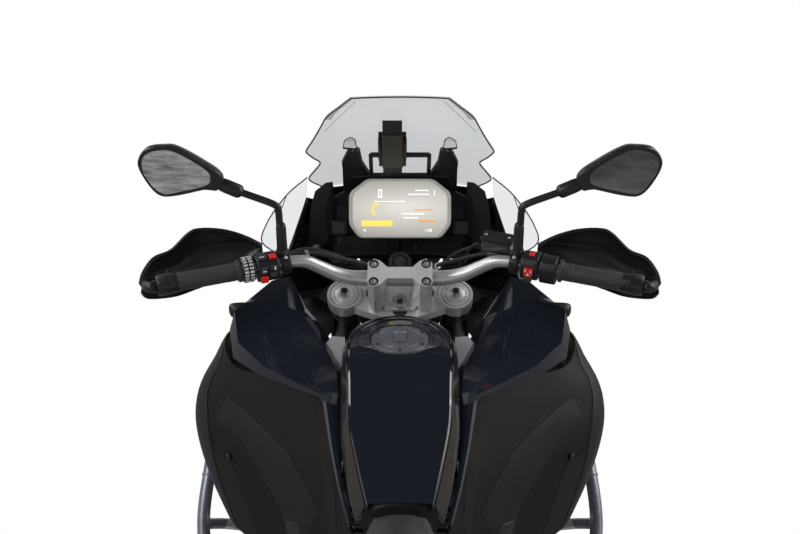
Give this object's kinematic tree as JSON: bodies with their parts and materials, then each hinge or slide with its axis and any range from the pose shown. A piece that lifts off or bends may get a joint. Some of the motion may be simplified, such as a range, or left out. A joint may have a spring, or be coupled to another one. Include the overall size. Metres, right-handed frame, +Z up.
{
  "type": "adventure motorcycle",
  "caption": "Adventure motorcycle on its centre stand with a high screen, wire wheels, crash bars and a luggage rack; steering, wheels, stands and filler cap move.",
  "frame": {"origin": "centre of the footprint on the ground", "axes": "+X to the rider's right, +Y forward, +Z up"},
  "size_m": [0.9464, 2.305, 1.3954],
  "materials": {
    "alloy_bar": "satin anodised",
    "yoke_silver": "satin",
    "dark_alloy": "satin",
    "stanchion": "polished",
    "axle_steel": "brushed",
    "moulded_black": "grained",
    "grip_rubber": "matte",
    "hose_rubber": "matte",
    "mirror_face": "polished",
    "tyre_rubber": "matte",
    "rim_paint": "satin",
    "hub_alloy": "satin",
    "disc_steel": "ground",
    "sprocket_steel": "oiled",
    "chain_steel": "oiled",
    "frame_paint": "satin black",
    "engine_case": "painted casting",
    "exhaust_steel": "brushed",
    "radiator_core": "painted",
    "tank_shell": "gloss",
    "panel_gloss": "high gloss",
    "seat_cover": "grained vinyl",
    "clear_screen": "clear",
    "display_case": "matte",
    "lamp_lens": "clear",
    "bare_alloy": "brushed",
    "crash_steel": "satin",
    "rack_paint": "satin black",
    "tail_lens": "gloss",
    "spring_paint": "gloss",
    "cap_alloy": "satin"
  },
  "bodies": {
    "chassis": {"frame": "frame_paint", "steering_head": "frame_paint", "front_stay": "frame_paint", "pivot_bolts": "axle_steel", "crankcase": "engine_case", "cylinder_head": "engine_case", "exhaust": "exhaust_steel", "radiator": "radiator_core", "fuel_tank": "tank_shell", "tank_cover": "tank_shell", "shoulder_panels": "panel_gloss", "side_panels": "moulded_black", "seat": "seat_cover", "windscreen": "clear_screen", "cockpit": "moulded_black", "display": "display_case", "front_fairing": "panel_gloss", "headlight": "lamp_lens", "bash_plate": "bare_alloy", "crash_bars": "crash_steel", "footpegs": "bare_alloy", "luggage_rack": "rack_paint", "tail_unit": "moulded_black", "lamps": "tail_lens", "swingarm": "bare_alloy", "shock_absorber": "spring_paint", "rear_caliper": "dark_alloy", "drive_chain": "chain_steel"},
    "steering": {"handlebar": "alloy_bar", "top_yoke": "yoke_silver", "bottom_yoke": "dark_alloy", "fork_tubes": "dark_alloy", "fork_stanchions": "stanchion", "front_axle": "axle_steel", "front_mudguard": "moulded_black", "front_calipers": "dark_alloy", "grips": "grip_rubber", "switchgear": "moulded_black", "levers": "yoke_silver", "hand_guards": "moulded_black", "mirrors": "moulded_black", "mirror_glass": "mirror_face", "brake_hoses": "hose_rubber"},
    "front_wheel": {"front_tyre": "tyre_rubber", "front_rim": "rim_paint", "front_hub": "hub_alloy", "front_discs": "disc_steel"},
    "rear_wheel": {"rear_tyre": "tyre_rubber", "rear_rim": "rim_paint", "rear_hub": "hub_alloy", "rear_disc": "disc_steel", "rear_sprocket": "sprocket_steel"},
    "centre_stand": {"centre_stand": "frame_paint"},
    "side_stand": {"side_stand": "frame_paint"},
    "filler_cap": {"filler_cap": "cap_alloy"}
  },
  "joints": [
    {"name": "steering", "type": "hinge", "parent": "chassis", "child": "steering", "pos_m": [0, 0.9091, 0], "axis": [0, -0.4695, 0.8829], "range_deg": [-38, 38]},
    {"name": "front_wheel", "type": "hinge", "parent": "steering", "child": "front_wheel", "pos_m": [0, 0.80448, 0.348], "axis": [1, 0, 0], "continuous": true},
    {"name": "rear_wheel", "type": "hinge", "parent": "chassis", "child": "rear_wheel", "pos_m": [0, -0.78852, 0.343], "axis": [1, 0, 0], "continuous": true},
    {"name": "centre_stand", "type": "hinge", "parent": "chassis", "child": "centre_stand", "pos_m": [0, -0.232, 0.268], "axis": [-1, 0, 0], "range_deg": [0, 95]},
    {"name": "side_stand", "type": "hinge", "parent": "chassis", "child": "side_stand", "pos_m": [-0.152, -0.12, 0.268], "axis": [1, 0, 0], "range_deg": [0, 100]},
    {"name": "filler_cap", "type": "hinge", "parent": "chassis", "child": "filler_cap", "pos_m": [0, 0.276, 1.018], "axis": [-1, 0, 0], "range_deg": [0, 95]}
  ]
}
